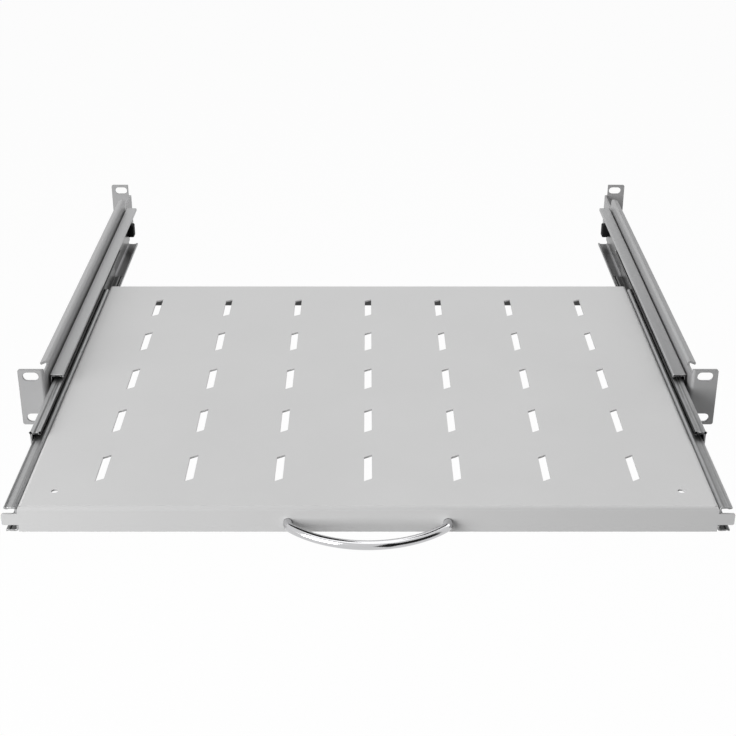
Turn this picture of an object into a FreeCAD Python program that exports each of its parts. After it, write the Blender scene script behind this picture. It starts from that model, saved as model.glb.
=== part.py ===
import FreeCAD, Part
import math
import os

# A sliding shelf for a 19-inch rack: a slotted steel tray on two three-member
# ball-bearing slides, carried by side brackets that bolt to four rack posts.
# The origin is the centre of the front ears' slot pattern, on their front face.
# +X is to the right, +Y runs into the rack and +Z is up. Everything is in mm.

# Rack interface: one unit high, four slotted holes at each end
slot_span = 465.12
slot_pitch = 31.75
slot_length = 11.0
slot_width = 6.4
slot_offset = 9.3
ear_margin = 8.74
ear_height = 42.4
ear_corner_radius = 1.6

# Side brackets: folded sheet steel
bracket_sheet = 1.5
bracket_bend_radius = 1.0
rear_ear_distance = 400.0
flange_reach = 5.9
flange_bend_radius = 0.4
flange_droop = 2.5
flange_start = 16.0
flange_end = 362.0
front_relief_top = 17.5
rear_relief_top = 11.0
rear_relief_width = 2.7
rail_standoff = 0.9
pad_length = 14.0
pad_height = 12.0
pad_inset = 48.0

# Tray: folded sheet steel with rows of slant-ended slots, as wide as the slides leave room for
# and a little longer than their inner members
tray_overhang = 7.4
tray_top = 3.4
tray_sheet = 1.2
tray_bend_radius = 1.2
tray_flange_height = 17.1
corner_gap = 0.5
vent_columns = 7
vent_rows = 5
vent_column_pitch = 55.27
vent_row_pitch = 63.55
vent_front_row = 47.5
vent_side = 30.0
vent_width = 5.0
vent_slant = 3.3
corner_hole_diameter = 4.3
corner_hole_side_inset = 19.2
corner_hole_front_inset = 19.0

# Slides: three nested members with two rows of balls between each pair
slide_centre_height = -5.0
slide_sheet = 1.2
slide_bend_radius = 0.3
race_margin = 0.1
rail_setback = 12.0
outer_rail_length = 350.0
outer_rail_height = 33.6
lower_flange_setback = 7.0
mid_rail_length = 330.0
mid_rail_setback = 4.5
inner_rail_length = 340.0
free_edge_inset = 2.8
lip_height = 2.2
ball_diameter = 3.0
ball_clearance = 0.1
groove_depth = 0.4
groove_half_width = 1.3
groove_floor_half_width = 0.6
cage_sheet = 0.5
cage_clearance = 0.3
cage_edge_margin = 0.5
cage_length = 150.0
balls_per_row = 3
ball_pitch = 55.0
outer_cage_setback = 92.0
inner_cage_setback = 95.0

# Stop ears at the ends of the tray's front lip and bumpers at the back of the outer rails
stop_ear_height = 7.8
stop_ear_corner_radius = 1.2
stop_ear_side_clearance = 1.3
stop_ear_notch_clearance = 0.4
bumper_length = 9.0
bumper_above = 2.8
bumper_below = 8.4
bumper_thickness = 5.8
bumper_rear_inset = 1.0
bumper_chamfer = 1.5
bumper_peg_side = 4.0

# Pull handle: a bow of chromed bar screwed on from behind the tray's front lip
handle_centres = 96.0
handle_projection = 25.5
handle_bar_diameter = 5.7
handle_end_radius = 8.0
handle_stub = 1.5
handle_drop = 10.4

# Fasteners
screw_hole_clearance = 0.2
handle_screw_diameter = 3.0
handle_screw_head_diameter = 5.6
handle_screw_head_height = 2.0
handle_screw_bite = 4.5
handle_hole_spare = 0.5
tray_screw_diameter = 4.0
tray_screw_head_diameter = 7.4
tray_screw_head_height = 2.2
tray_screw_tail = 3.6
tray_screw_end_inset = 30.0

# How far the tray stands open in the modelled position
opening = 164.0

# Positions that follow from the sizes above
ear_half = ear_height / 2.0
ear_edge = slot_span / 2.0 + ear_margin
tray_front = rail_setback - opening
tray_back = tray_front + inner_rail_length + tray_overhang
tray_bottom = tray_top - tray_flange_height
rail_end = rail_setback + outer_rail_length
cage_space = cage_sheet + 2.0 * cage_clearance
groove_turn = math.atan2(groove_depth, groove_half_width - groove_floor_half_width)
groove_mitre = slide_sheet * math.tan(groove_turn / 2.0)
race_half = groove_half_width + groove_mitre + race_margin
web_face = slot_span / 2.0 - slot_offset
outer_skin = web_face - rail_standoff
mid_skin = outer_skin - slide_sheet - cage_space
inner_edge = mid_skin - slide_sheet - cage_space
ball_line = inner_edge - race_half
free_edge = ball_line - race_half - slide_bend_radius - slide_sheet
tray_half = free_edge - free_edge_inset
ball_room = ball_diameter + 2.0 * ball_clearance
outer_half = outer_rail_height / 2.0
outer_race = outer_half - slide_sheet
mid_half = outer_race - ball_room + groove_depth
mid_race = mid_half - groove_depth - slide_sheet
inner_half = mid_race - ball_room + groove_depth
outer_ball_height = outer_race - ball_clearance - ball_diameter / 2.0
inner_ball_height = mid_race - ball_clearance - ball_diameter / 2.0
mid_front = rail_setback + mid_rail_setback - opening / 2.0
outer_cage_front = rail_setback + outer_cage_setback - opening / 4.0
inner_cage_front = rail_setback + inner_cage_setback - opening * 3.0 / 4.0
stop_ear_edge = outer_skin - slide_sheet - stop_ear_side_clearance
stop_ear_centre = (tray_top + tray_bottom) / 2.0
handle_height = tray_top - handle_drop
tray_screw_insets = (tray_screw_end_inset, inner_rail_length - tray_screw_end_inset)


X_AXIS = FreeCAD.Vector(1, 0, 0)
Y_AXIS = FreeCAD.Vector(0, 1, 0)
Z_AXIS = FreeCAD.Vector(0, 0, 1)
TINY = 1e-6


def space_xz(y):
    """Maps a section drawn as (x, z) into the plane at depth y."""
    return lambda point: FreeCAD.Vector(point.real, y, point.imag)


def space_xy(z):
    """Maps a plan drawn as (x, y) into the plane at height z."""
    return lambda point: FreeCAD.Vector(point.real, point.imag, z)


def rounded_run(points, radii, to_space):
    """Edges of an open run of straight lines: each corner is an arc, or sharp where its radius is 0."""
    edges = []
    last = points[0]
    for before, corner, after, radius in zip(points, points[1:], points[2:], radii):
        if radius == 0:
            edges.append(Part.LineSegment(to_space(last), to_space(corner)).toShape())
            last = corner
            continue
        heading_in = (corner - before) / abs(corner - before)
        heading_out = (after - corner) / abs(after - corner)
        half_turn = math.acos(max(-1.0, min(1.0, (heading_in * heading_out.conjugate()).real))) / 2.0
        setback = radius * math.tan(half_turn)
        inward = (heading_out - heading_in) / abs(heading_out - heading_in)
        start = corner - heading_in * setback
        middle = corner + inward * (radius / math.cos(half_turn) - radius)
        end = corner + heading_out * setback
        edges.append(Part.LineSegment(to_space(last), to_space(start)).toShape())
        edges.append(Part.Arc(to_space(start), to_space(middle), to_space(end)).toShape())
        last = end
    edges.append(Part.LineSegment(to_space(last), to_space(points[-1])).toShape())
    return edges


def folded_section(skin, sheet, radii, to_space):
    """Face of a folded sheet: skin is the line of one side, and the sheet lies to its left."""
    points = [complex(*point) for point in skin]
    headings = [(b - a) / abs(b - a) for a, b in zip(points, points[1:])]
    normals = [heading * 1j for heading in headings]
    back = [points[0] + sheet * normals[0]]
    skin_radii = []
    back_radii = []
    for index, radius in enumerate(radii):
        first = normals[index]
        second = normals[index + 1]
        facing = (first * second.conjugate()).real
        back.append(points[index + 1] + sheet * (first + second) / (1.0 + facing))
        turns_left = (headings[index].conjugate() * headings[index + 1]).imag > 0
        outside_radius = radius + sheet if radius else 0
        skin_radii.append(outside_radius if turns_left else radius)
        back_radii.append(radius if turns_left else outside_radius)
    back.append(points[-1] + sheet * normals[-1])
    edges = rounded_run(points, skin_radii, to_space)
    edges.append(Part.LineSegment(to_space(points[-1]), to_space(back[-1])).toShape())
    edges += rounded_run(back[::-1], back_radii[::-1], to_space)
    edges.append(Part.LineSegment(to_space(back[0]), to_space(points[0])).toShape())
    return Part.Face(Part.Wire(edges))


def box(x_range, y_range, z_range):
    """Box between two values on each axis."""
    low = FreeCAD.Vector(x_range[0], y_range[0], z_range[0])
    sizes = [span[1] - span[0] for span in (x_range, y_range, z_range)]
    return Part.makeBox(sizes[0], sizes[1], sizes[2], low)


def cylinder(diameter, length, start, direction):
    """Round bar of the given diameter from a start point along a direction."""
    return Part.makeCylinder(diameter / 2.0, length, FreeCAD.Vector(*start), FreeCAD.Vector(*direction))


def edges_along(shape, axis, test):
    """Straight edges of a shape that run along one axis and whose middle passes a test."""
    chosen = []
    for edge in shape.Edges:
        if len(edge.Vertexes) != 2 or not isinstance(edge.Curve, Part.Line):
            continue
        run = edge.Vertexes[1].Point - edge.Vertexes[0].Point
        if abs(abs(run.dot(axis)) - edge.Length) < TINY and test(edge.CenterOfMass):
            chosen.append(edge)
    return chosen


def flat_head_screw(seat, direction, diameter, grip, head_diameter, head_height):
    """Screw whose head stands on its seat and whose shank runs the other way for the grip."""
    back = FreeCAD.Vector(*direction) * -1.0
    head = cylinder(head_diameter, head_height, seat, direction)
    return head.fuse(cylinder(diameter, grip, seat, tuple(back))).removeSplitter()


def race_groove(centre, level, side):
    """Corner points of a ball groove rolled into a flange, from the far side to the near one.

    side is +1 where the run crosses towards lower x along the top, and -1 along the bottom."""
    floor = level - math.copysign(groove_depth, level)
    return [
        (centre + side * groove_half_width, level),
        (centre + side * groove_floor_half_width, floor),
        (centre - side * groove_floor_half_width, floor),
        (centre - side * groove_half_width, level),
    ]


def lift(points):
    """Moves section points from the slide's own centre line to its height in the shelf."""
    return [(x, z + slide_centre_height) for x, z in points]


def make_side_bracket():
    """Right bracket: a web folded outwards into an ear at each end and a drooping top flange.

    Two pressed pads hold the slide a little way off the web."""
    rear_face = rear_ear_distance + bracket_sheet
    plan = [(ear_edge, rear_face), (web_face, rear_face), (web_face, 0), (ear_edge, 0)]
    web = folded_section(plan, bracket_sheet, [bracket_bend_radius] * 2, space_xy(-ear_half))
    bracket = web.extrude(FreeCAD.Vector(0, 0, ear_height))
    bracket = bracket.makeFillet(ear_corner_radius, edges_along(
        bracket, Y_AXIS, lambda middle: middle.x > ear_edge - TINY))

    web_zone = (web_face - bracket_sheet, web_face + rear_relief_width)
    above = ear_half + bracket_sheet
    bracket = bracket.cut(box(web_zone, (bracket_sheet, flange_end), (front_relief_top, above)))
    bracket = bracket.cut(box(web_zone, (flange_end, rear_face), (rear_relief_top, above)))
    fold = [
        (web_face + flange_reach, ear_half - flange_droop), (web_face, ear_half),
        (web_face, slide_centre_height),
    ]
    flange = folded_section(fold, bracket_sheet, [flange_bend_radius], space_xz(flange_start))
    bracket = bracket.fuse(flange.extrude(FreeCAD.Vector(0, flange_end - flange_start, 0)))

    for y in (0.0, rear_ear_distance):
        for z in (-slot_pitch / 2.0, slot_pitch / 2.0):
            bracket = bracket.cut(rack_slot(y, z))
    for middle in (rail_setback + pad_inset, rail_end - pad_inset):
        bracket = bracket.fuse(box(
            (outer_skin, web_face + bracket_sheet), (middle - pad_length / 2.0, middle + pad_length / 2.0),
            (slide_centre_height - pad_height / 2.0, slide_centre_height + pad_height / 2.0)))
    return bracket.removeSplitter()


def rack_slot(y, z):
    """Cutter for one round-ended slot of the right ear that starts at depth y."""
    half_run = (slot_length - slot_width) / 2.0
    centre = slot_span / 2.0
    along = (0, 1, 0)
    cutter = box((centre - half_run, centre + half_run), (y, y + bracket_sheet),
                 (z - slot_width / 2.0, z + slot_width / 2.0))
    for x in (centre - half_run, centre + half_run):
        cutter = cutter.fuse(cylinder(slot_width, bracket_sheet, (x, y, z), along))
    return cutter


def make_outer_rail():
    """Right outer member: a C that opens to the tray, with a lip on each free edge.

    Its lower flange stops short of the closed end."""
    skin = [
        (free_edge, lip_height - outer_half), (free_edge, -outer_half), (outer_skin, -outer_half),
        (outer_skin, outer_half), (free_edge, outer_half), (free_edge, outer_half - lip_height),
    ]
    section = folded_section(lift(skin), slide_sheet, [slide_bend_radius] * 4, space_xz(rail_setback))
    rail = section.extrude(FreeCAD.Vector(0, outer_rail_length, 0))
    floor = slide_centre_height - outer_half
    rail = rail.cut(box((free_edge, outer_skin - slide_sheet - slide_bend_radius),
                        (rail_end - lower_flange_setback, rail_end), (floor, floor + lip_height)))
    return rail.cut(bumper_peg())


def bumper_peg():
    """Square peg of the rear bumper, which plugs into the outer rail's web."""
    middle = rail_end - bumper_rear_inset - bumper_length / 2.0
    half = bumper_peg_side / 2.0
    return box((outer_skin - slide_sheet, outer_skin), (middle - half, middle + half),
               (slide_centre_height - half, slide_centre_height + half))


def make_rear_bumper():
    """Moulded block at the closed end of the outer rail that the mid rail runs up to."""
    face = outer_skin - slide_sheet
    back = rail_end - bumper_rear_inset
    block = box((face - bumper_thickness, face), (back - bumper_length, back),
                (slide_centre_height - bumper_below, slide_centre_height + bumper_above))
    block = block.makeChamfer(bumper_chamfer, edges_along(
        block, Z_AXIS, lambda middle: middle.x < face - TINY))
    return block.fuse(bumper_peg()).removeSplitter()


def make_mid_rail():
    """Right middle member: a C like the outer one, with a ball groove rolled into each flange."""
    skin = [(free_edge, lip_height - mid_half), (free_edge, -mid_half)]
    skin += race_groove(ball_line, -mid_half, -1)
    skin += [(mid_skin, -mid_half), (mid_skin, mid_half)]
    skin += race_groove(ball_line, mid_half, 1)
    skin += [(free_edge, mid_half), (free_edge, mid_half - lip_height)]
    sharp = [0] * (len(skin) - 2)
    section = folded_section(lift(skin), slide_sheet, sharp, space_xz(mid_front))
    return section.extrude(FreeCAD.Vector(0, mid_rail_length, 0))


def make_inner_rail():
    """Right inner member: a C that opens outwards, screwed to the tray and notched at its stop ear."""
    skin = [(inner_edge, inner_half)] + race_groove(ball_line, inner_half, 1)
    skin += [(tray_half, inner_half), (tray_half, -inner_half)]
    skin += race_groove(ball_line, -inner_half, -1) + [(inner_edge, -inner_half)]
    sharp = [0] * (len(skin) - 2)
    section = folded_section(lift(skin), slide_sheet, sharp, space_xz(tray_front))
    rail = section.extrude(FreeCAD.Vector(0, inner_rail_length, 0))
    rail = rail.cut(stop_ear(stop_ear_notch_clearance))
    for inset in tray_screw_insets:
        rail = rail.cut(tray_screw_hole(inset))
    return rail


def stop_ear(room):
    """Flat ear at the right end of the tray's front lip, grown by some room on every side."""
    half = stop_ear_height / 2.0
    ear = box((tray_half - tray_sheet, stop_ear_edge), (tray_front - room, tray_front + tray_sheet + room),
              (stop_ear_centre - half - room, stop_ear_centre + half + room))
    return ear.makeFillet(stop_ear_corner_radius, edges_along(
        ear, Y_AXIS, lambda middle: middle.x > stop_ear_edge - TINY))


def tray_screw_hole(inset):
    """Cutter for one screw through the inner rail's web and the tray's side."""
    start = (tray_half - tray_sheet, tray_front + inset, slide_centre_height)
    diameter = tray_screw_diameter + screw_hole_clearance
    return cylinder(diameter, tray_sheet + slide_sheet, start, (1, 0, 0))


def make_tray_screws():
    """Screws inside the inner rail that hold it to the tray's side."""
    grip = slide_sheet + tray_sheet + tray_screw_tail
    screws = []
    for inset in tray_screw_insets:
        seat = (tray_half + slide_sheet, tray_front + inset, slide_centre_height)
        screws.append(flat_head_screw(seat, (1, 0, 0), tray_screw_diameter, grip,
                                      tray_screw_head_diameter, tray_screw_head_height))
    return Part.makeCompound(screws)


def cage_section(outer_face, height, y):
    """Section of a ball cage: a thin C whose flanges lie at the height of the ball centres."""
    edge = ball_line - ball_room / 2.0 - cage_edge_margin
    level = height + cage_sheet / 2.0
    skin = [(edge, -level), (outer_face, -level), (outer_face, level), (edge, level)]
    return folded_section(lift(skin), cage_sheet, [0, 0], space_xz(y))


def ball_centres(height, y):
    """Centres of the balls of one cage that starts at depth y: a row above and a row below."""
    first = y + (cage_length - ball_pitch * (balls_per_row - 1)) / 2.0
    for level in (slide_centre_height - height, slide_centre_height + height):
        for index in range(balls_per_row):
            yield FreeCAD.Vector(ball_line, first + index * ball_pitch, level)


def make_ball_cage(outer_face, height, y):
    """Ball cage with a square window punched for each ball."""
    cage = cage_section(outer_face, height, y).extrude(FreeCAD.Vector(0, cage_length, 0))
    for centre in ball_centres(height, y):
        window = [(middle - ball_room / 2.0, middle + ball_room / 2.0) for middle in centre]
        cage = cage.cut(box(*window))
    return cage


def make_balls(height, y):
    """The two rows of steel balls of one cage, each drawn with 26 flats."""
    cube = Part.makeBox(ball_diameter, ball_diameter, ball_diameter)
    ball = cube.makeChamfer(ball_diameter / (2.0 + math.sqrt(2.0)), cube.Edges)
    corner = FreeCAD.Vector(ball_diameter, ball_diameter, ball_diameter) / 2.0
    return Part.makeCompound([ball.translated(centre - corner) for centre in ball_centres(height, y)])


def top_edges(shape):
    """Edges that lie in a shape's highest plane."""
    return [edge for edge in shape.Edges if edge.BoundBox.ZMin > shape.BoundBox.ZMax - TINY]


def make_tray_pan():
    """Tray: a flat top folded down on four sides, slotted for air, with a stop ear at each front end."""
    across = (-tray_half, tray_half)
    along = (tray_front, tray_back)
    pan = box(across, along, (tray_bottom, tray_top))
    pan = pan.makeFillet(tray_bend_radius + tray_sheet, top_edges(pan))
    hollow = box((across[0] + tray_sheet, across[1] - tray_sheet),
                 (along[0] + tray_sheet, along[1] - tray_sheet),
                 (tray_bottom, tray_top - tray_sheet))
    hollow = hollow.makeFillet(tray_bend_radius, top_edges(hollow))
    pan = pan.cut(hollow)

    for side in (-1, 1):
        for end, inward in ((tray_front, 1), (tray_back, -1)):
            pan = pan.cut(corner_relief(side, end, inward))
    for row in range(vent_rows):
        y = tray_front + vent_front_row + row * vent_row_pitch
        for column in range(vent_columns):
            x = (column - (vent_columns - 1) / 2.0) * vent_column_pitch
            pan = pan.cut(vent_cutter(x, y))
    for side in (-1, 1):
        hole = (side * (tray_half - corner_hole_side_inset), tray_front + corner_hole_front_inset,
                tray_top - tray_sheet)
        pan = pan.cut(cylinder(corner_hole_diameter, tray_sheet, hole, (0, 0, 1)))
        pan = pan.cut(handle_screw_hole(side))
    for inset in tray_screw_insets:
        cutter = tray_screw_hole(inset)
        pan = pan.cut(cutter).cut(mirrored(cutter))
    return pan.fuse([stop_ear(0.0), mirrored(stop_ear(0.0))]).removeSplitter()


def corner_relief(side, end, inward):
    """Cutter for the slit where a side flange meets the front or back one."""
    slit_x = sorted((side * (tray_half - tray_sheet - tray_bend_radius), side * tray_half))
    slit_y = sorted((end + inward * tray_sheet, end + inward * (tray_sheet + corner_gap)))
    return box(slit_x, slit_y, (tray_bottom, tray_top))


def vent_cutter(x, y):
    """Cutter for one vent: a slot along Y whose two ends slant the same way."""
    half = vent_width / 2.0
    reach = vent_side / 2.0
    lean = vent_slant / 2.0
    level = tray_top - tray_sheet
    corners = [(-half, -reach - lean), (half, -reach + lean), (half, reach + lean), (-half, reach - lean)]
    outline = [FreeCAD.Vector(x + across, y + along, level) for across, along in corners]
    outline.append(outline[0])
    return Part.Face(Part.makePolygon(outline)).extrude(FreeCAD.Vector(0, 0, tray_sheet))


def handle_screw_hole(side):
    """Cutter for one handle screw through the tray's front lip and into the handle's foot."""
    bite = handle_screw_bite + handle_hole_spare
    start = (side * handle_centres / 2.0, tray_front - bite, handle_height)
    return cylinder(handle_screw_diameter + screw_hole_clearance, bite + tray_sheet, start, (0, 1, 0))


def make_pull_handle():
    """Bow handle: round bar that leaves the lip straight, bends in and crosses in one wide arc."""
    half = handle_centres / 2.0
    bend_out = handle_projection - handle_stub
    inner_x = half - handle_end_radius
    bow_radius = (bend_out ** 2 + inner_x ** 2 - handle_end_radius ** 2)
    bow_radius /= 2.0 * (bend_out - handle_end_radius)
    bow_centre = complex(0, bend_out - bow_radius)
    end_centre = complex(inner_x, 0)
    towards = (end_centre - bow_centre) / abs(end_centre - bow_centre)
    meeting = bow_centre + bow_radius * towards
    halfway = end_centre + handle_end_radius * (towards + 1.0) / abs(towards + 1.0)

    def in_shelf(point, side):
        return FreeCAD.Vector(side * point.real, tray_front - handle_stub - point.imag, handle_height)

    foot = complex(half, -handle_stub)
    root = complex(half, 0)
    path = Part.Wire([
        Part.LineSegment(in_shelf(foot, -1), in_shelf(root, -1)).toShape(),
        Part.Arc(in_shelf(root, -1), in_shelf(halfway, -1), in_shelf(meeting, -1)).toShape(),
        Part.Arc(in_shelf(meeting, -1), in_shelf(complex(0, bend_out), 1), in_shelf(meeting, 1)).toShape(),
        Part.Arc(in_shelf(meeting, 1), in_shelf(halfway, 1), in_shelf(root, 1)).toShape(),
        Part.LineSegment(in_shelf(root, 1), in_shelf(foot, 1)).toShape(),
    ])
    ring = Part.makeCircle(handle_bar_diameter / 2.0, in_shelf(foot, -1), Y_AXIS)
    bar = path.makePipe(Part.Face(Part.Wire(ring)))
    return bar.cut([handle_screw_hole(-1), handle_screw_hole(1)])


def make_handle_screws():
    """Screws behind the front lip that hold the handle."""
    screws = []
    for side in (-1, 1):
        seat = (side * handle_centres / 2.0, tray_front + tray_sheet, handle_height)
        screws.append(flat_head_screw(seat, (0, 1, 0), handle_screw_diameter, tray_sheet + handle_screw_bite,
                                      handle_screw_head_diameter, handle_screw_head_height))
    return Part.makeCompound(screws)


def mirrored(shape):
    """The left-hand twin of a right-hand shape."""
    return shape.mirror(FreeCAD.Vector(0, 0, 0), X_AXIS)


nodes = {
    "tray_pan": make_tray_pan(),
    "pull_handle": make_pull_handle(),
    "handle_screws": make_handle_screws(),
}
outer_cage_face = outer_skin - slide_sheet - cage_clearance
inner_cage_face = mid_skin - slide_sheet - cage_clearance
right_pieces = {
    "side_bracket": make_side_bracket(),
    "outer_rail": make_outer_rail(),
    "rear_bumper": make_rear_bumper(),
    "outer_ball_cage": make_ball_cage(outer_cage_face, outer_ball_height, outer_cage_front),
    "outer_balls": make_balls(outer_ball_height, outer_cage_front),
    "mid_rail": make_mid_rail(),
    "inner_ball_cage": make_ball_cage(inner_cage_face, inner_ball_height, inner_cage_front),
    "inner_balls": make_balls(inner_ball_height, inner_cage_front),
    "inner_rail": make_inner_rail(),
    "tray_screws": make_tray_screws(),
}
for name, shape in right_pieces.items():
    nodes["right_" + name] = shape
    nodes["left_" + name] = mirrored(shape)

os.makedirs("parts", exist_ok=True)
for name, shape in nodes.items():
    shape.exportStep("parts/" + name + ".step")
    print(name, len(shape.Solids), shape.isValid(), round(shape.Volume, 1))
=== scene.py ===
import math

import bpy
import numpy as np
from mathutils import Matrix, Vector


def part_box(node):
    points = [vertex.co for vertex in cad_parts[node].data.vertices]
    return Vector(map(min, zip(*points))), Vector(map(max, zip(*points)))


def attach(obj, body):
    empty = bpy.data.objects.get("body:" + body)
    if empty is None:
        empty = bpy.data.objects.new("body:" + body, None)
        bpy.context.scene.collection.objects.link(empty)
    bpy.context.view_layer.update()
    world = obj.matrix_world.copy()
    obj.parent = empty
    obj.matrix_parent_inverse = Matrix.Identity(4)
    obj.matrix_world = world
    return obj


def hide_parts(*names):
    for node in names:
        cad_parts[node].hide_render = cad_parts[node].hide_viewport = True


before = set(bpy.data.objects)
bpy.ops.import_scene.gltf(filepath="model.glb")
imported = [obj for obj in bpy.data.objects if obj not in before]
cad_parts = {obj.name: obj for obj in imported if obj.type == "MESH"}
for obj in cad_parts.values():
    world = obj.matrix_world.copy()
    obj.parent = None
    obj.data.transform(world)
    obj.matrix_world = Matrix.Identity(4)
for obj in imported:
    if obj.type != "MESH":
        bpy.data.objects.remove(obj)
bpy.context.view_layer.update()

# Side brackets: two folded plates of 1.5 mm sheet steel with a slotted ear at each end and a drooping
# top flange, sprayed in a grey powder coat. They bolt to the rack's posts and carry the slides.
MM = 0.001
SIDES = {"left": -1, "right": 1}


def feed(tree, node, sockets):
    """Gives each named socket of a node a value, or wires it to another socket."""
    for socket, value in sockets.items():
        if isinstance(value, bpy.types.NodeSocket):
            tree.links.new(value, node.inputs[socket])
        else:
            node.inputs[socket].default_value = value


def place(tree, kind, sockets, **traits):
    """New shader node with its traits set and its sockets fed."""
    new = tree.nodes.new(kind)
    for trait, value in traits.items():
        setattr(new, trait, value)
    feed(tree, new, sockets)
    return new


def blend(tree, share, first, second):
    """Colour between two others: the first where the share is 0 and the second where it is 1."""
    return place(tree, "ShaderNodeMix", {0: share, 6: first, 7: second}, data_type="RGBA").outputs[2]


def reckon(tree, operation, *values):
    """Result of one sum, product or comparison of values and sockets."""
    return place(tree, "ShaderNodeMath", dict(enumerate(values)), operation=operation).outputs[0]


def ramp(tree, value, given=(0.0, 1.0), wanted=(0.0, 1.0)):
    """Carries a value from one range onto another in a straight line, held at both ends."""
    return place(tree, "ShaderNodeMapRange", {
        "Value": value, "From Min": given[0], "From Max": given[1],
        "To Min": wanted[0], "To Max": wanted[1]}).outputs[0]


def noise(tree, scale, detail, vector=None):
    """Noise over the piece's own coordinates, or over another vector."""
    if vector is None:
        vector = place(tree, "ShaderNodeTexCoord", {}).outputs["Object"]
    return place(tree, "ShaderNodeTexNoise", {
        "Vector": vector, "Scale": scale, "Detail": detail}).outputs[0]


def open_group(name, inputs, outputs):
    """Empty shader node group with named numbers as inputs, each with its value, and as outputs."""
    tree = bpy.data.node_groups.new(name, "ShaderNodeTree")
    for label, value in inputs.items():
        socket = tree.interface.new_socket(label, in_out="INPUT", socket_type="NodeSocketFloat")
        socket.default_value = value
    for label in outputs:
        tree.interface.new_socket(label, in_out="OUTPUT", socket_type="NodeSocketFloat")
    return tree, tree.nodes.new("NodeGroupInput").outputs, tree.nodes.new("NodeGroupOutput")


def use_group(tree, group, **sockets):
    """Places a node group in a material with its own values and returns its outputs."""
    return place(tree, "ShaderNodeGroup", sockets, node_tree=group).outputs


def open_finish(name):
    """Empty material with a Principled shader; returns the material, its tree and the shader."""
    finish = bpy.data.materials.new(name)
    finish.use_nodes = True
    tree = finish.node_tree
    return finish, tree, tree.nodes["Principled BSDF"]


def dress(node, finish):
    """Gives a carried-over CAD node a finish in each of its material slots."""
    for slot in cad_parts[node].material_slots:
        slot.material = finish


# Edges: 1 where a bevelled normal leaves the true one, broken up by a fine noise. Bare metal shows
# wear there; powder coat shows a darker grey there that is wear and painted shade.
edge_wear_and_shade, given, result = open_group("edge_wear_and_shade", {"Width": 0.5 * MM, "Breakup": 220.0}, ("Mask",))
rounded = place(edge_wear_and_shade, "ShaderNodeBevel", {"Radius": given["Width"]}, samples=6)
plain = place(edge_wear_and_shade, "ShaderNodeNewGeometry", {})
aligned = place(edge_wear_and_shade, "ShaderNodeVectorMath", {0: rounded.outputs[0], 1: plain.outputs["Normal"]},
                operation="DOT_PRODUCT")
bent = ramp(edge_wear_and_shade, aligned.outputs["Value"], (0.995, 0.80))
broken = ramp(edge_wear_and_shade, noise(edge_wear_and_shade, given["Breakup"], 3.0), (0.25, 0.75), (0.45, 1.0))
feed(edge_wear_and_shade, result, {"Mask": reckon(edge_wear_and_shade, "MULTIPLY", bent, broken)})

# Powder coat: orange peel as height, and cloudy tone with fine specks as values around the middle.
SPECK_SHARE = 0.35
powder_coat, given, result = open_group(
    "powder_coat", {"Peel": 900.0, "Cloud": 14.0}, ("Height", "Tone", "Gloss"))
cloud = noise(powder_coat, given["Cloud"], 4.0)
speckled = reckon(powder_coat, "MULTIPLY_ADD", noise(powder_coat, 2600.0, 1.0), SPECK_SHARE, cloud)
feed(powder_coat, result, {
    "Height": noise(powder_coat, given["Peel"], 2.0),
    "Tone": ramp(powder_coat, speckled, (0.35, 1.0)),
    "Gloss": cloud})


def sprayed_finish(name, dark, light, worn_edge_shade, metallic, roughness, wear_width):
    """Powder-coated steel: cloudy tone between two greys, orange peel, and a third grey on edges for wear
    and painted shade.
    """
    finish, tree, shader = open_finish(name)
    coat = use_group(tree, powder_coat)
    edge_mask = use_group(tree, edge_wear_and_shade, Width=wear_width)
    tone = blend(tree, coat["Tone"], dark, light)
    peel = place(tree, "ShaderNodeBump", {
        "Height": coat["Height"], "Strength": 0.06, "Distance": 0.1 * MM})
    feed(tree, shader, {
        "Base Color": blend(tree, edge_mask["Mask"], tone, worn_edge_shade),
        "Roughness": ramp(tree, coat["Gloss"], wanted=(roughness - 0.05, roughness + 0.05)),
        "Normal": peel.outputs[0],
        "Metallic": metallic})
    return finish


# The brackets' edges are near black: painted shade along the sheet's edges, over a little wear.
bracket_finish = sprayed_finish(
    "bracket_paint", dark=(0.35, 0.35, 0.353, 1), light=(0.39, 0.39, 0.393, 1), worn_edge_shade=(0.16, 0.16, 0.16, 1),
    metallic=0.25, roughness=0.42, wear_width=0.7 * MM)
for hand in SIDES:
    dress(hand + "_side_bracket", bracket_finish)

# Rail rivets: two domed steel rivets a side, set through the bracket's web into the outer rail.
# Only their low heads show, on the bracket's outer face.
RIVET_RADIUS = 3.2 * MM
RIVET_RISE = 1.3 * MM
RIVET_INSET = 48 * MM
RIVET_RINGS = 9
RIVET_STEPS = 40
RAIL_STANDOFF = 0.9 * MM
BRACKET_SHEET = 1.5 * MM


def ring_faces(rings, steps):
    """Faces of a stack of rings whose points run ring by ring, followed by the point that closes each
    end: quads between neighbouring rings, and a fan of triangles around each closing point."""
    here = np.arange(steps)
    there = (here + 1) % steps
    ring = np.arange(rings - 1)[:, None] * steps
    quads = np.stack([ring + here, ring + there, ring + steps + there, ring + steps + here], axis=-1)
    count = rings * steps
    base = np.stack([np.full(steps, count), there, here], axis=-1)
    cap = np.stack([np.full(steps, count + 1), count - steps + here, count - steps + there], axis=-1)
    return quads.reshape(-1, 4), np.concatenate([base, cap])


def turned(radius, height, steps):
    """Surface of revolution about the local z axis: each ring is the profile's radius and height at
    one station, and the two ends of the profile, which lie on the axis, are single points."""
    angle = np.linspace(0, 2 * np.pi, steps, endpoint=False)
    rings = np.stack(np.broadcast_arrays(
        radius[1:-1, None] * np.cos(angle), radius[1:-1, None] * np.sin(angle), height[1:-1, None]),
        axis=-1)
    ends = [(0, 0, height[0]), (0, 0, height[-1])]
    return np.concatenate([rings.reshape(-1, 3), ends]), ring_faces(len(rings), steps)


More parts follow.
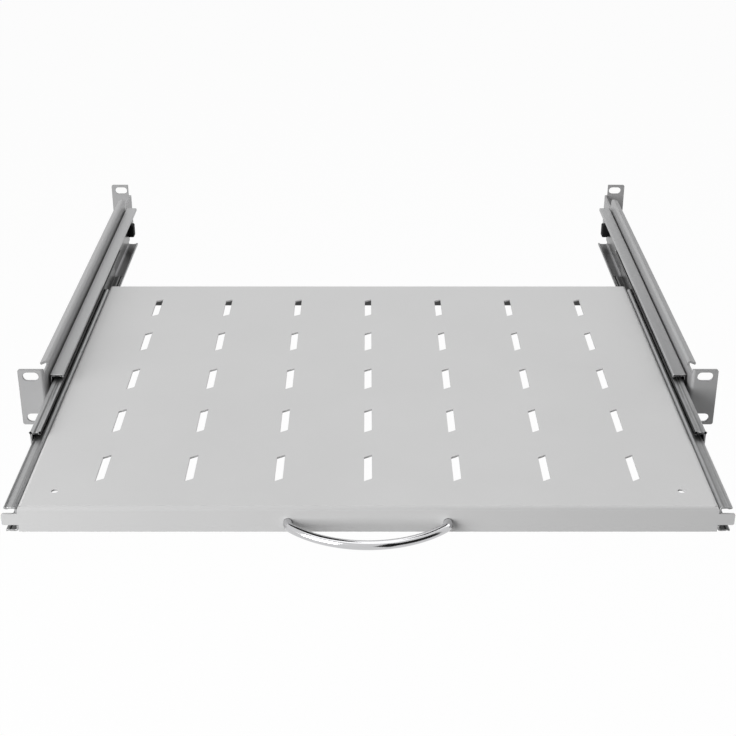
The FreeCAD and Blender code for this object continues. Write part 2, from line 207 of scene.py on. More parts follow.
def copies(points, faces, centres):
    """One shape repeated at each centre, as one set of points and blocks of faces."""
    repeated = (points[None] + np.asarray(centres)[:, None]).reshape(-1, 3)
    shift = np.arange(len(centres))[:, None, None] * len(points)
    return repeated, [(block + shift).reshape(-1, block.shape[1]) for block in faces]


def stand_along_x(points, side):
    """Turns points so that their z axis runs along x to the given side, as a proper rotation."""
    return np.stack([side * points[:, 2], points[:, 1], -side * points[:, 0]], axis=-1)


def add_piece(name, points, faces, finish):
    """Smooth mesh object at the origin from points and blocks of faces, with its finish."""
    mesh = bpy.data.meshes.new(name)
    mesh.from_pydata(np.asarray(points).tolist(), [], [face for block in faces for face in block.tolist()])
    mesh.polygons.foreach_set("use_smooth", np.ones(len(mesh.polygons), bool))
    mesh.materials.append(finish)
    mesh.update()
    piece = bpy.data.objects.new(name, mesh)
    bpy.context.scene.collection.objects.link(piece)
    return piece


# Rolled lines: a noise drawn out along the strip, and a cloud that shifts tone and gloss.
rolled_lines, given, result = open_group(
    "rolled_lines", {"Across": 2400.0, "Along": 14.0, "Cloud": 30.0}, ("Lines", "Cloud"))
where = place(rolled_lines, "ShaderNodeTexCoord", {})
stretch = place(rolled_lines, "ShaderNodeCombineXYZ", {
    "X": given["Across"], "Y": given["Along"], "Z": given["Across"]})
drawn_out = place(rolled_lines, "ShaderNodeVectorMath",
                  {0: where.outputs["Object"], 1: stretch.outputs[0]}, operation="MULTIPLY")
feed(rolled_lines, result, {
    "Lines": noise(rolled_lines, 1.0, 3.0, drawn_out.outputs[0]),
    "Cloud": noise(rolled_lines, given["Cloud"], 3.0)})


def bare_metal_finish(name, dark, light, roughness, spread, across, along, cloud=30.0, edge_tone=0.80,
                      painted_shading=None):
    """Bare or plated metal: drawn lines and clouds shift its tone and gloss, edges are brighter, and a
    painted colour, given with an attribute of the piece, covers it where that attribute is 1, as painted
    shade, or as painted light where it is lighter."""
    finish, tree, shader = open_finish(name)
    grain = use_group(tree, rolled_lines, Across=across, Along=along, Cloud=cloud)
    edge_mask = use_group(tree, edge_wear_and_shade, Width=0.35 * MM)
    level = reckon(tree, "ADD", grain["Lines"], grain["Cloud"])
    usual = (0.6, 1.4)
    tone = blend(tree, ramp(tree, level, usual), dark, light)
    if painted_shading:
        cover = place(tree, "ShaderNodeAttribute", {}, attribute_name=painted_shading[0])
        tone = blend(tree, cover.outputs["Fac"], tone, painted_shading[1])
    lines = place(tree, "ShaderNodeBump", {
        "Height": grain["Lines"], "Strength": 0.05, "Distance": 0.05 * MM})
    feed(tree, shader, {
        "Base Color": blend(tree, edge_mask["Mask"], tone, (edge_tone, edge_tone, edge_tone, 1)),
        "Roughness": ramp(tree, level, usual, (roughness - spread, roughness + spread)),
        "Normal": lines.outputs[0],
        "Metallic": 1.0})
    return finish


fastener_finish = bare_metal_finish(
    "fastener_steel", dark=(0.42, 0.42, 0.43, 1), light=(0.62, 0.62, 0.63, 1),
    roughness=0.32, spread=0.08, across=1600.0, along=1600.0)
rise = np.linspace(0, np.pi / 2, RIVET_RINGS)
rivet_radius = np.concatenate([[0], RIVET_RADIUS * np.cos(rise)])
rivet_height = np.concatenate([[0], RIVET_RISE * np.sin(rise)])
dome, dome_faces = turned(rivet_radius, rivet_height, RIVET_STEPS)
for hand, side in SIDES.items():
    rail_low, rail_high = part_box(hand + "_outer_rail")
    web_face = max(abs(rail_low[0]), abs(rail_high[0])) + RAIL_STANDOFF + BRACKET_SHEET
    rail_middle = (rail_low[2] + rail_high[2]) / 2
    points, faces = copies(stand_along_x(dome, side), dome_faces, [
        (side * web_face, rail_low[1] + RIVET_INSET, rail_middle),
        (side * web_face, rail_high[1] - RIVET_INSET, rail_middle)])
    rivets = add_piece(hand + "_rail_rivets", points, faces, fastener_finish)
    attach(rivets, "frame")

# Outer rails: roll-formed channels of 1.2 mm zinc-plated strip with a lip on each free edge. They are
# riveted to the brackets and stand open towards the tray. The outer corner is darkened as painted shade,
# the inside is greased and darkened as painted shade, and behind the tray the inside is painted lighter,
# with a painted highlight along its inner corner.
SLIDE_SHEET = 1.2 * MM
SLIDE_CENTRE = -5.0 * MM
SHEET_BREAK = 0.30 * MM
BREAK_ANGLE = 40
ARC_STEPS = 9
RUN_STEPS = 30
STATION_PITCH = 20 * MM
LIP = 2.2 * MM
OUTER_BEND = 0.7 * MM
FLANGE_SETBACK = 7 * MM
CORNER_SHADE = 1.0 * MM
CORNER_SHADE_FADE = 0.5 * MM
CORNER_SHADE_SHARE = 0.9
CLEAR_LIGHT_TONE = 0.14
CLEAR_LIGHT_RUN = 60 * MM
CORNER_GLINT = (2.2 * MM, 3.2 * MM)
GLINT_TONE = 0.55


def bent_line(corners, radii, arc_steps, run_steps):
    """Open line whose inner corners are arcs: each arc starts a setback of radius times the tangent of
    half the turn before its corner and steps evenly through the turn; straight runs are divided evenly."""
    corners = np.asarray(corners, float)
    headings = np.diff(corners, axis=0)
    headings = headings / np.linalg.norm(headings, axis=1, keepdims=True)
    into, out = headings[:-1], headings[1:]
    turn = np.arctan2(into[:, 0] * out[:, 1] - into[:, 1] * out[:, 0], (into * out).sum(axis=1))
    radii = np.asarray(radii, float)[:, None]
    starts = corners[1:-1] - into * radii * np.tan(np.abs(turn) / 2)[:, None]
    inward = np.stack([-into[:, 1], into[:, 0]], axis=-1) * np.sign(turn)[:, None]
    angle = turn[:, None] * np.linspace(0, 1, arc_steps)
    spoke = -inward * radii
    arcs = (starts + inward * radii)[:, None] + np.stack([
        spoke[:, :1] * np.cos(angle) - spoke[:, 1:] * np.sin(angle),
        spoke[:, :1] * np.sin(angle) + spoke[:, 1:] * np.cos(angle)], axis=-1)
    heads = np.concatenate([corners[:1], arcs[:, -1]])
    tails = np.concatenate([arcs[:, 0], corners[-1:]])
    part = np.linspace(0, 1, run_steps + 2)[1:-1]
    runs = heads[:, None] + (tails - heads)[:, None] * part[None, :, None]
    middle = np.concatenate([runs[:-1], arcs], axis=1).reshape(-1, 2)
    return np.concatenate([corners[:1], middle, runs[-1], corners[-1:]])


def channel_line(corners, bends, groove_centre=0, groove_depth=0, groove_half=1):
    """Skin of a channel from its lower free edge to its upper one: the upper half is a bent line whose
    flange dips by a raised-cosine ball groove, and the lower half is its mirror image."""
    upper = bent_line(corners, bends, ARC_STEPS, RUN_STEPS)
    across = np.clip((upper[:, 0] - groove_centre) / groove_half, -1, 1)
    upper[:, 1] -= groove_depth * (1 + np.cos(np.pi * across)) / 2
    return np.concatenate([upper[:0:-1] * (1, -1), upper])


def grid_faces(rows, columns, keep=None):
    """Quads of a grid of points, row by row; keep leaves out the cells that are cut away."""
    corner = np.arange(rows - 1)[:, None] * columns + np.arange(columns - 1)
    quads = np.stack([corner, corner + columns, corner + columns + 1, corner + 1], axis=-1)
    return quads.reshape(-1, 4) if keep is None else quads[keep]


def even_stations(low, high):
    """Evenly spaced stations from one end of a rail to the other."""
    return np.linspace(low, high, int((high - low) / STATION_PITCH) + 2)


def fade(distance, width):
    """Share that rises in a straight line from 0 to 1 over a width."""
    return np.clip(distance / width, 0, 1)


def sheet_piece(name, line, stations, side, outward, keep=None, **shading_layers):
    """Strip of sheet: its skin is the line carried along y through the stations, without the points that
    only cut cells use. Then it is given its thickness inwards, where it is greased and darkened as painted
    shade, and its cut edges are broken. Painted light and shade are attributes over the line, or over the
    line and the stations: one darkens the skin as painted shade, the other brightens the inside as painted
    light."""
    points = np.empty((len(line), len(stations), 3))
    points[..., 0] = line[:, None, 0] * side
    points[..., 1] = stations[None, :]
    points[..., 2] = line[:, None, 1] + SLIDE_CENTRE
    faces = grid_faces(len(line), len(stations), keep)
    if side * outward < 0:
        faces = faces[:, ::-1]
    used, faces = np.unique(faces, return_inverse=True)
    piece = add_piece(name, points.reshape(-1, 3)[used], [faces.reshape(-1, 4)], rail_finish)
    piece.data.materials.append(greased_and_shaded_finish)
    for label, cover in shading_layers.items():
        layer = piece.data.attributes.new(label, "FLOAT", "POINT")
        layer.data.foreach_set("value", np.broadcast_to(cover.T, points.shape[1::-1]).T.ravel()[used])
    solid = piece.modifiers.new("thickness", "SOLIDIFY")
    solid.thickness = SLIDE_SHEET
    solid.offset = -1
    solid.use_even_offset = True
    solid.material_offset = 1
    soften = piece.modifiers.new("broken_edges", "BEVEL")
    soften.width = SHEET_BREAK
    soften.segments = 3
    soften.limit_method = "ANGLE"
    soften.angle_limit = math.radians(BREAK_ANGLE)
    soften.use_clamp_overlap = False
    soften.harden_normals = True
    return piece


# Where its attribute is 1 the zinc turns near black: painted shade in gaps, grooves and corners.
rail_finish = bare_metal_finish(
    "rail_zinc", dark=(0.37, 0.372, 0.375, 1), light=(0.44, 0.442, 0.445, 1),
    roughness=0.40, spread=0.05, across=2400.0, along=14.0, cloud=420.0,
    painted_shading=("track", (0.012, 0.012, 0.012, 1)))
# The inside of each rail takes this darker zinc, as grease and painted shade; where its attribute is 1 it
# turns light grey as painted light.
greased_and_shaded_finish = bare_metal_finish(
    "rail_greased_and_shaded", dark=(0.07, 0.07, 0.07, 1), light=(0.16, 0.16, 0.16, 1),
    roughness=0.34, spread=0.10, across=1500.0, along=10.0, edge_tone=0.45,
    painted_shading=("dry", (0.80, 0.80, 0.81, 1)))
for hand, side in SIDES.items():
    low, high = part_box(hand + "_outer_rail")
    skin = max(abs(low[0]), abs(high[0]))
    edge = min(abs(low[0]), abs(high[0]))
    half = (high[2] - low[2]) / 2
    line = channel_line([(skin, 0), (skin, half), (edge, half), (edge, half - LIP)],
                        [OUTER_BEND, OUTER_BEND])
    stations = np.concatenate([even_stations(low[1], high[1] - FLANGE_SETBACK), [high[1]]])
    centre = (line[:-1] + line[1:]) / 2
    keep = np.ones((len(line) - 1, len(stations) - 1), bool)
    keep[centre[:, 1] < LIP - half, -1] = False
    # Painted shade: a dark band along the outer corner, where the rail stands against the bracket.
    corner_shade = fade(line[:, 0] - skin + CORNER_SHADE, CORNER_SHADE_FADE)
    # Painted light inside the rail behind the tray: a lighter tone, and a painted highlight along the inner
    # corner.
    from_corner = skin - line[:, 0] + line[:, 1] + half
    glint = fade(CORNER_GLINT[1] - from_corner, CORNER_GLINT[1] - CORNER_GLINT[0])
    clear_of_tray = fade(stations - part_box("tray_pan")[1][1], CLEAR_LIGHT_RUN)
    rail = sheet_piece(hand + "_outer_channel", line, stations, side, -1, keep,
                       track=CORNER_SHADE_SHARE * corner_shade,
                       dry=(CLEAR_LIGHT_TONE + (GLINT_TONE - CLEAR_LIGHT_TONE) * glint)[:, None] * clear_of_tray[None, :])
    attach(rail, "frame")
    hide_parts(hand + "_outer_rail")

# Rear bumpers: blocks of black moulded nylon plugged into the rear end of each outer rail, which stop
# the slide softly as the shelf is pushed home.
BUMPER_ROUND = 1.1 * MM
BUMPER_GAP = 0.2 * MM
ROUND_STEPS = 6


def rounded_block(low, high, radius):
    """Block with rounded edges: the unit normals of a sphere, each scaled to the radius and moved out to
    the corner of its own eighth, with one point closing each pole."""
    low, high = np.asarray(low, float), np.asarray(high, float)
    quarter = np.linspace(0, np.pi / 2, ROUND_STEPS)
    rise = np.concatenate([quarter - np.pi / 2, quarter])[1:-1]
    turn = np.concatenate([quarter + k * np.pi / 2 for k in range(4)])
    octant_turn = np.repeat(np.arange(4) * np.pi / 2 + np.pi / 4, ROUND_STEPS)
    normal = np.stack(np.broadcast_arrays(
        np.cos(rise)[:, None] * np.cos(turn), np.cos(rise)[:, None] * np.sin(turn),
        np.sin(rise)[:, None]), axis=-1)
    sign = np.stack(np.broadcast_arrays(
        np.sign(np.cos(octant_turn)), np.sign(np.sin(octant_turn)),
        np.where(np.arange(len(rise)) < ROUND_STEPS - 1, -1.0, 1.0)[:, None]), axis=-1)
    middle, reach = (low + high) / 2, (high - low) / 2 - radius
    rings = middle + sign * reach + normal * radius
    ends = [(middle[0], middle[1], low[2]), (middle[0], middle[1], high[2])]
    return np.concatenate([rings.reshape(-1, 3), ends]), ring_faces(len(rings), len(turn))


bumper_finish, tree, shader = open_finish("bumper_plastic")
stipple = noise(tree, 1500.0, 2.0)
grainy = place(tree, "ShaderNodeBump", {"Height": stipple, "Strength": 0.2, "Distance": 0.1 * MM})
feed(tree, shader, {
    "Base Color": blend(tree, stipple, (0.004, 0.004, 0.004, 1), (0.010, 0.010, 0.011, 1)),
    "Roughness": ramp(tree, stipple, wanted=(0.60, 0.75)),
    "Normal": grainy.outputs[0],
    "Specular IOR Level": 0.15})
for hand, side in SIDES.items():
    low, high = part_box(hand + "_rear_bumper")
    peg = SLIDE_SHEET
    inner = (low[0] + (peg if side < 0 else 0), high[0] - (peg if side > 0 else 0))
    points, faces = rounded_block((inner[0], low[1] + BUMPER_GAP, low[2]), (inner[1], high[1], high[2]),
                                  BUMPER_ROUND)
    bumper = add_piece(hand + "_bumper_block", points, faces, bumper_finish)
    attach(bumper, "frame")
    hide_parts(hand + "_rear_bumper")

# Ball cages and balls: thin zinc-plated channels with a punched window for each hardened steel ball,
# one cage between the outer and middle rails and one between the middle and inner rails.
BALL_RADIUS = 1.5 * MM
BALLS_PER_ROW = 3
BALL_RINGS = 17
BALL_STEPS = 32

cage_finish = bare_metal_finish(
    "cage_zinc", dark=(0.46, 0.45, 0.42, 1), light=(0.60, 0.59, 0.55, 1),
    roughness=0.38, spread=0.08, across=1800.0, along=30.0)
ball_finish = bare_metal_finish(
    "ball_steel", dark=(0.60, 0.61, 0.62, 1), light=(0.70, 0.71, 0.72, 1),
    roughness=0.10, spread=0.04, across=900.0, along=900.0)
swing = np.linspace(-np.pi / 2, np.pi / 2, BALL_RINGS)
ball, ball_faces = turned(BALL_RADIUS * np.cos(swing), BALL_RADIUS * np.sin(swing), BALL_STEPS)
for hand in SIDES:
    for ring in ("outer", "inner"):
        dress(hand + "_" + ring + "_ball_cage", cage_finish)
        low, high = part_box(hand + "_" + ring + "_balls")
        across = (low[0] + high[0]) / 2
        along = np.linspace(low[1] + BALL_RADIUS, high[1] - BALL_RADIUS, BALLS_PER_ROW)
        points, faces = copies(ball, ball_faces, [
            (across, y, z) for z in (low[2] + BALL_RADIUS, high[2] - BALL_RADIUS) for y in along])
        balls = add_piece(hand + "_" + ring + "_ball_rows", points, faces, ball_finish)
        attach(balls, hand + "_" + ring + "_cage")
        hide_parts(hand + "_" + ring + "_balls")

# Middle rails: channels of the same strip, one size smaller, with a ball groove rolled into each flange.
# They hang between the two ball cages and run out at half the tray's travel. Painted shade lies on the
# lips, on the groove's flanks and, behind the outer rail's front end, on the free margin.
GROOVE_DEPTH = 0.4 * MM
GROOVE_HALF = 1.35 * MM
MID_BEND = 0.6 * MM
LIP_SHADE_FADE = 0.1 * MM
FLANK_SHADE = {"outer": 0.6, "inner": 0.2}
FLANK_REACH = 1.4 * GROOVE_HALF
FREE_MARGIN = 2.6 * MM
MARGIN_FADE = 0.2 * FREE_MARGIN
COVER_SHADE_FADE = 6 * MM
for hand, side in SIDES.items():
    low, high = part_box(hand + "_mid_rail")
    ball_low, ball_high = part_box(hand + "_outer_balls")
    ball_line = abs(ball_low[0] + ball_high[0]) / 2
    skin = max(abs(low[0]), abs(high[0]))
    edge = min(abs(low[0]), abs(high[0]))
    half = (high[2] - low[2]) / 2
    line = channel_line([(skin, 0), (skin, half), (edge, half), (edge, half - LIP)], [MID_BEND, MID_BEND],
                        ball_line, GROOVE_DEPTH, GROOVE_HALF)
    # Painted shade on the groove's flanks, deeper on the outer one, and on the lips.
    flank = np.clip((line[:, 0] - ball_line) / FLANK_REACH, -1, 1)
    flank_share = np.where(flank > 0, FLANK_SHADE["outer"], FLANK_SHADE["inner"])
    flank_shade = flank_share * np.sin(np.pi * flank) ** 2
    on_lip = np.where(line[:, 0] < edge + MID_BEND, fade(half - np.abs(line[:, 1]), LIP_SHADE_FADE), 0)
    stations = even_stations(low[1], high[1])
    # Painted shade on the free margin, behind the outer rail's front end.
    covered = fade(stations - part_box(hand + "_outer_rail")[0][1], COVER_SHADE_FADE)
    shaded_margin = fade(edge + FREE_MARGIN - line[:, 0], MARGIN_FADE)
    rail = sheet_piece(hand + "_mid_channel", line, stations, side, -1,
                       track=np.maximum(np.maximum(on_lip, flank_shade)[:, None],
                                        shaded_margin[:, None] * covered[None, :]))
    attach(rail, hand + "_mid")
    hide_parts(hand + "_mid_rail")

# Inner rails: plain channels that open outwards, with a ball groove in each flange, screwed flat against
# the tray's sides. Their front ends are notched for the tray's stop ears. Painted shade lies in the ball
# groove and in fine lines along the flange, and all but a bright strip is darkened with painted shade
# where the middle rail covers it.
INNER_BEND = 2.0 * MM
INNER_TRACK = 2.0 * MM
GROOVE_SHADE = 0.25
RIB_LINES = np.array((0.7, 2.5, 8.3)) * MM
RIB_SHADE = np.array((0.2, 0.35, 0.7))
RIB_HALF = 0.45 * MM
BRIGHT_STRIP = 2.5 * MM
STRIP_FADE = 0.3 * BRIGHT_STRIP
NOTCH_DEPTH = 1.6 * MM
NOTCH_LOW = -4.45 * MM
NOTCH_HIGH = 4.15 * MM
for hand, side in SIDES.items():
    low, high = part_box(hand + "_inner_rail")
    web = min(abs(low[0]), abs(high[0]))
    edge = max(abs(low[0]), abs(high[0]))
    half = (high[2] - low[2]) / 2
    line = channel_line([(web, 0), (web, half), (edge, half)], [INNER_BEND],
                        ball_line, GROOVE_DEPTH, GROOVE_HALF)
    # Painted shade in the ball groove and in fine lines along the flange, one of them at the joint with the
    # tray.
    rolled = (1 + np.cos(np.pi * np.clip((line[:, 0] - ball_line) / INNER_TRACK, -1, 1))) / 2
    offset = (line[:, None, 0] - web - RIB_LINES) / RIB_HALF
    ribbed = (RIB_SHADE * np.exp(-offset ** 2)).max(axis=1)
    stations = np.concatenate([[low[1]], even_stations(low[1] + NOTCH_DEPTH, high[1])])
    centre = (line[:-1] + line[1:]) / 2
    at_notch = (centre[:, 1] > NOTCH_LOW) & (centre[:, 1] < NOTCH_HIGH)
    keep = np.ones((len(line) - 1, len(stations) - 1), bool)
    keep[at_notch & (centre[:, 0] < web + SLIDE_SHEET), 0] = False
    # Painted shade outboard of the bright strip, where the middle rail covers it.
    covered = fade(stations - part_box(hand + "_mid_rail")[0][1], COVER_SHADE_FADE)
    shaded_margin = fade(line[:, 0] - web - BRIGHT_STRIP, STRIP_FADE)
    lined_shade = np.maximum(GROOVE_SHADE * rolled, ribbed)
    rail = sheet_piece(hand + "_inner_channel", line, stations, side, 1, keep,
                       track=np.maximum(lined_shade[:, None], shaded_margin[:, None] * covered[None, :]))
    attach(rail, "tray")
    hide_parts(hand + "_inner_rail")

# Tray: a blank of 1.2 mm sheet steel punched with rows of slant-ended slots, folded down on four sides
# with a stop ear at each front end, and powder-coated light grey.
JUST_INSIDE = 1.15 * MM
BEND_SHADE = (0.49, 0.49, 0.49, 1)
INSIDE_SHADE = (0.22, 0.22, 0.22, 1)
FRONT_BEND = (0, -math.sqrt(0.5), math.sqrt(0.5))
# The tray's edges are a darker grey: painted shade that dulls the highlights on its bends.
tray_finish = sprayed_finish(
    "tray_paint", dark=(0.575, 0.575, 0.575, 1), light=(0.605, 0.605, 0.605, 1), worn_edge_shade=(0.45, 0.45, 0.45, 1),
    metallic=0.0, roughness=0.5, wear_width=0.6 * MM)
tree = tray_finish.node_tree
shader = tree.nodes["Principled BSDF"]
painted = shader.inputs["Base Color"].links[0].from_socket
# Where the surface leans towards the front and up, over the front bend, the coat is a darker grey:
# painted shade that dulls the bend's highlight.
surface = place(tree, "ShaderNodeNewGeometry", {})
leaning = place(tree, "ShaderNodeVectorMath", {0: surface.outputs["Normal"], 1: FRONT_BEND},
                operation="DOT_PRODUCT")
painted = blend(tree, ramp(tree, leaning.outputs["Value"], (0.75, 0.97)), painted, BEND_SHADE)
# Inside the folded pan, a little less than the sheet's thickness from its skin, the coat is a darker
# grey: painted shade.
low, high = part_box("tray_pan")
side_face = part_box("right_inner_rail")[0][0]
where = place(tree, "ShaderNodeTexCoord", {})
spot = place(tree, "ShaderNodeSeparateXYZ", {0: where.outputs["Object"]}).outputs
within = reckon(tree, "LESS_THAN", reckon(tree, "ABSOLUTE", spot["X"]), side_face - JUST_INSIDE)
for axis, compare, limit in (("Y", "GREATER_THAN", low[1] + JUST_INSIDE),
                             ("Y", "LESS_THAN", high[1] - JUST_INSIDE),
                             ("Z", "LESS_THAN", high[2] - JUST_INSIDE)):
    within = reckon(tree, "MULTIPLY", within, reckon(tree, compare, spot[axis], limit))
feed(tree, shader, {"Base Color": blend(tree, within, painted, INSIDE_SHADE)})
dress("tray_pan", tray_finish)

# Screws: zinc-plated pan heads with a cross recess. Four short ones hold the inner rails to the tray's
# sides, and two from behind the front lip hold the handle. The recess and the tip are shares of the head
# radius, the head height and the shank.
TRAY_SCREW = {"head_radius": 3.7 * MM, "head_height": 2.2 * MM,
              "shank_radius": 2.0 * MM, "shank_length": 6.0 * MM}
HANDLE_SCREW = {"head_radius": 2.8 * MM, "head_height": 2.0 * MM,
                "shank_radius": 1.5 * MM, "shank_length": 5.7 * MM}
SCREW_STEPS = 48
RECESS_RINGS = np.linspace(0.06, 0.6, 16)
RIM_RINGS = np.linspace(0.66, 1, 8)
RECESS_REACH = 0.55
RECESS_END_SLOPE = 0.08
RECESS_HALF = 0.17
RECESS_SIDE_SLOPE = 0.06
RECESS_DEPTH = 0.55
HEAD_SIDE = 0.45
TIP_START = 0.94
TIP_RADIUS = 0.7


def pan_screw(head_radius, head_height, shank_radius, shank_length):
    """Pan-head screw about the z axis with its seat at 0: a dome that falls off as the fourth power of
    the radius, sunk by a cross-shaped step near the middle, then a straight side and a plain shank."""
    angle = np.linspace(0, 2 * np.pi, SCREW_STEPS, endpoint=False)
    ring = np.concatenate([RECESS_RINGS, RIM_RINGS])[::-1]
    across = ring[:, None] * np.cos(angle)
    aside = ring[:, None] * np.sin(angle)
    arm = np.maximum(np.abs(across), np.abs(aside))
    off_arm = np.minimum(np.abs(across), np.abs(aside))
    sunk = fade(RECESS_HALF - off_arm, RECESS_SIDE_SLOPE) * fade(RECESS_REACH - arm, RECESS_END_SLOPE)
    dome = HEAD_SIDE + (1 - HEAD_SIDE) * (1 - ring[:, None] ** 4) - RECESS_DEPTH * sunk
    head = np.stack([head_radius * across, head_radius * aside, head_height * dome], axis=-1)
    tail_radius = np.array([TIP_RADIUS * shank_radius, shank_radius, shank_radius, head_radius])
    tail_height = np.array([-shank_length, -shank_length * TIP_START, 0, 0])
    tail = np.stack(np.broadcast_arrays(
        tail_radius[:, None] * np.cos(angle), tail_radius[:, None] * np.sin(angle), tail_height[:, None]),
        axis=-1)
    rings = np.concatenate([tail, head])
    ends = [(0, 0, -shank_length), (0, 0, head_height * (1 - RECESS_DEPTH))]
    return np.concatenate([rings.reshape(-1, 3), ends]), ring_faces(len(rings), SCREW_STEPS)


screw, screw_faces = pan_screw(**TRAY_SCREW)
for hand, side in SIDES.items():
    low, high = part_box(hand + "_tray_screws")
    seat = max(abs(low[0]), abs(high[0])) - TRAY_SCREW["head_height"]
    level = (low[2] + high[2]) / 2
    points, faces = copies(stand_along_x(screw, side), screw_faces, [
        (side * seat, low[1] + TRAY_SCREW["head_radius"], level),
        (side * seat, high[1] - TRAY_SCREW["head_radius"], level)])
    screws = add_piece(hand + "_tray_pan_screws", points, faces, fastener_finish)
    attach(screws, "tray")
    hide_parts(hand + "_tray_screws")

low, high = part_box("handle_screws")
screw, screw_faces = pan_screw(**HANDLE_SCREW)
screw = np.stack([screw[:, 0], screw[:, 2], -screw[:, 1]], axis=-1)
reach = high[0] - HANDLE_SCREW["head_radius"]
seat = high[1] - HANDLE_SCREW["head_height"]
points, faces = copies(screw, screw_faces, [
    (end * reach, seat, (low[2] + high[2]) / 2) for end in (-1, 1)])
screws = add_piece("handle_pan_screws", points, faces, fastener_finish)
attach(screws, "tray")
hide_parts("handle_screws")

# Pull handle: a bow bent from 5.7 mm round bar and chromed. Its two feet stand on the front lip and are
# tapped for the screws behind it.
BAR_RADIUS = 2.85 * MM
BAR_STEPS = 48
HANDLE_HALF = 48 * MM
END_BEND = 8 * MM
STUB = 1.5 * MM
BEND_STEPS = 14


def bow_path(half, projection, end_radius, stub, steps):
    """Centre line of the bow as (across, out): a short stub, an end arc, one wide arc tangent to both end
    arcs, and the same back. The wide arc's radius follows from the projection and the end radius."""
    out = projection - stub
    inner = half - end_radius
    wide = (out ** 2 + inner ** 2 - end_radius ** 2) / (2 * (out - end_radius))
    meet = np.arctan2(wide - out, inner)
    small = np.linspace(0, meet, steps)
    right_end = np.stack([inner + end_radius * np.cos(small), stub + end_radius * np.sin(small)], axis=-1)
    big = np.linspace(meet, np.pi - meet, 4 * steps)[1:-1]
    crown = np.stack([wide * np.cos(big), stub + out - wide + wide * np.sin(big)], axis=-1)
    left_end = right_end[::-1] * (-1, 1)
    return np.concatenate([[(half, 0)], right_end, crown, left_end, [(-half, 0)]])


def bent_bar(path, radius, steps):
    """Round bar as (across, out, up): a circle square to the path's heading, carried along the path, with
    a point closing each end."""
    heading = np.gradient(path, axis=0)
    heading[[0, -1]] = [(0, 1), (0, -1)]
    heading = heading / np.linalg.norm(heading, axis=1, keepdims=True)
    turn = np.linspace(0, 2 * np.pi, steps, endpoint=False)
    rings = np.stack(np.broadcast_arrays(
        path[:, :1] + radius * heading[:, 1:] * np.cos(turn),
        path[:, 1:] - radius * heading[:, :1] * np.cos(turn),
        radius * np.sin(turn)), axis=-1)
    ends = np.column_stack([path[[0, -1]], (0, 0)])
    return np.concatenate([rings.reshape(-1, 3), ends]), ring_faces(len(path), steps)


chrome_finish, tree, shader = open_finish("handle_chrome")
grain = use_group(tree, rolled_lines, Across=500.0, Along=500.0, Cloud=60.0)
lines = place(tree, "ShaderNodeBump", {"Height": grain["Lines"], "Strength": 0.015, "Distance": 0.05 * MM})
feed(tree, shader, {
    "Base Color": blend(tree, grain["Cloud"], (0.52, 0.52, 0.53, 1), (0.60, 0.60, 0.61, 1)),
    "Roughness": ramp(tree, grain["Cloud"], wanted=(0.09, 0.16)),
    "Normal": lines.outputs[0],
    "Metallic": 1.0})

low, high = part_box("pull_handle")
lip_face = high[1]
path = bow_path(HANDLE_HALF, lip_face - low[1] - BAR_RADIUS, END_BEND, STUB, BEND_STEPS)
bow, bow_faces = bent_bar(path, BAR_RADIUS, BAR_STEPS)
bow = bow * (1, -1, 1) + (0, lip_face, (low[2] + high[2]) / 2)
handle = add_piece("bow_handle", bow, bow_faces, chrome_finish)
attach(handle, "tray")
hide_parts("pull_handle")

# Studio: a pale floor well below the shelf, a white surround, and soft lamps from the left, from above
# and from the back. Floor and surround look white but give the part only a plain level of light.
FLOOR_LEVEL = -0.60
FLOOR_HALF = 8.0
FLOOR_GLOW = 0.95
SURROUND_LIGHT = 0.40
ONE_CARD = [np.arange(4)[None, :]]


def looked_at(tree):
    """1 for rays from the eye, a mirror or glass, and 0 for the rays that light the part."""
    rays = place(tree, "ShaderNodeLightPath", {}).outputs
    seen = reckon(tree, "MAXIMUM", rays["Is Camera Ray"], rays["Is Glossy Ray"])
    return reckon(tree, "MAXIMUM", seen, rays["Is Transmission Ray"])


floor_finish, tree, shader = open_finish("studio_floor")
seen = looked_at(tree)
feed(tree, shader, {
    "Base Color": blend(tree, seen, (0.24, 0.24, 0.24, 1), (0.97, 0.97, 0.97, 1)), "Roughness": 0.9})
glow = place(tree, "ShaderNodeEmission", {"Color": (1, 1, 1, 1), "Strength": 1.0})
both = place(tree, "ShaderNodeMixShader", {
    0: reckon(tree, "MULTIPLY", seen, FLOOR_GLOW), 1: shader.outputs[0], 2: glow.outputs[0]})
feed(tree, tree.nodes["Material Output"], {"Surface": both.outputs[0]})
corner = np.array([(-1, -1), (1, -1), (1, 1), (-1, 1)]) * FLOOR_HALF
floor = add_piece("floor", np.column_stack([corner, np.full(4, FLOOR_LEVEL)]), ONE_CARD, floor_finish)

world = bpy.data.worlds.new("surround")
world.use_nodes = True
bpy.context.scene.world = world
tree = world.node_tree
feed(tree, tree.nodes["Background"], {
    "Color": (1, 1, 1, 1), "Strength": ramp(tree, looked_at(tree), wanted=(SURROUND_LIGHT, 1.0))})


def add_lamp(name, place_at, aim_at, size, power):
    """Square soft lamp that points from its place to a target."""
    lamp = bpy.data.lights.new(name, "AREA")
    lamp.size = size
    lamp.energy = power
    holder = bpy.data.objects.new(name, lamp)
    holder.location = place_at
    aim = np.asarray(aim_at) - np.asarray(place_at)
    pitch = math.atan2(math.hypot(aim[0], aim[1]), -aim[2])
    holder.rotation_euler = (pitch, 0, -math.atan2(aim[0], aim[1]))
    bpy.context.scene.collection.objects.link(holder)


add_lamp("key_lamp", place_at=(-1.40, -1.40, 0.55), aim_at=(0, -0.05, 0), size=1.2, power=40)
add_lamp("top_lamp", place_at=(0.05, 0.20, 2.0), aim_at=(0, 0.05, 0), size=2.4, power=16)
add_lamp("back_lamp", place_at=(1.2, 0.6, 0.9), aim_at=(-0.22, 0.15, 0), size=0.8, power=3.5)

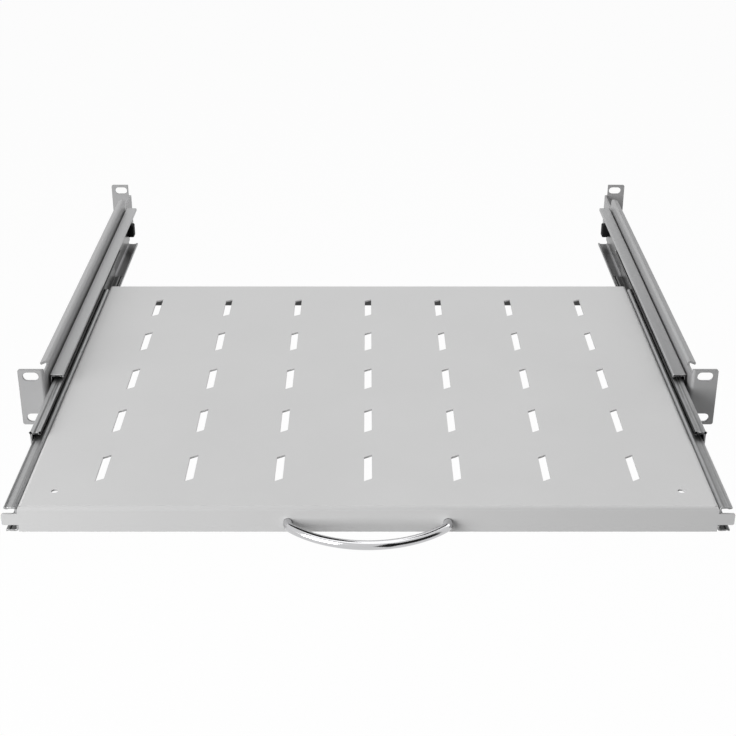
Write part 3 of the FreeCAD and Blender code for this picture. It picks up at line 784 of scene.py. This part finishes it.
# Flags: black cards out of the picture. The large one keeps light off the right side; the small ones only
# show as dark streaks in the chromed handle.
flag_finish, tree, shader = open_finish("black_card")
feed(tree, shader, {"Base Color": (0.01, 0.01, 0.01, 1), "Roughness": 0.95})


def add_flag(name, corners, shades):
    """Black card given by its corners; a shading card blocks light as well as being mirrored."""
    flag = add_piece(name, corners, ONE_CARD, flag_finish)
    flag.visible_camera = False
    flag.visible_diffuse = shades
    flag.visible_shadow = shades


add_flag("right_flag", [
    (0.36, -1.16, -0.40), (1.08, -0.48, -0.40), (1.08, -0.48, 0.60), (0.36, -1.16, 0.60)], shades=True)
add_flag("front_card", [
    (0.08, -0.95, 0.00), (0.30, -0.87, -0.60), (0.52, -0.75, 0.20), (0.30, -0.87, 0.75)], shades=False)
add_flag("left_card", [
    (-0.26, -0.10, 0.55), (-0.03, -0.10, 0.55), (-0.03, 0.25, 0.22), (-0.26, 0.25, 0.22)], shades=False)
add_flag("back_card", [
    (0.50, 1.40, 0.25), (1.10, 1.40, 0.25), (1.10, 1.40, 1.00), (0.50, 1.40, 1.00)], shades=False)
add_flag("far_card", [
    (0.15, -0.10, 0.55), (0.32, -0.10, 0.55), (0.32, 0.20, 0.30), (0.15, 0.20, 0.30)], shades=False)

# Camera: stands in front of the shelf and a little above it, at the place that fits the rack slots and
# the tray's edges. Its focal length is in pixels of a square picture.
FILM_WIDTH = 36.0
PICTURE_WIDTH = 736
FOCAL_LENGTH = 1424.33
CAMERA_PLACE = (0, -0.88218, 0.44631)
CAMERA_DIP = 25.656
camera = bpy.data.cameras.new("photo_camera")
camera.sensor_width = FILM_WIDTH
camera.lens = FILM_WIDTH * FOCAL_LENGTH / PICTURE_WIDTH
viewer = bpy.data.objects.new("photo_camera", camera)
viewer.location = CAMERA_PLACE
viewer.rotation_euler = (math.radians(90 - CAMERA_DIP), 0, 0)
bpy.context.scene.collection.objects.link(viewer)
bpy.context.scene.camera = viewer
bpy.context.scene.view_settings.view_transform = "Standard"
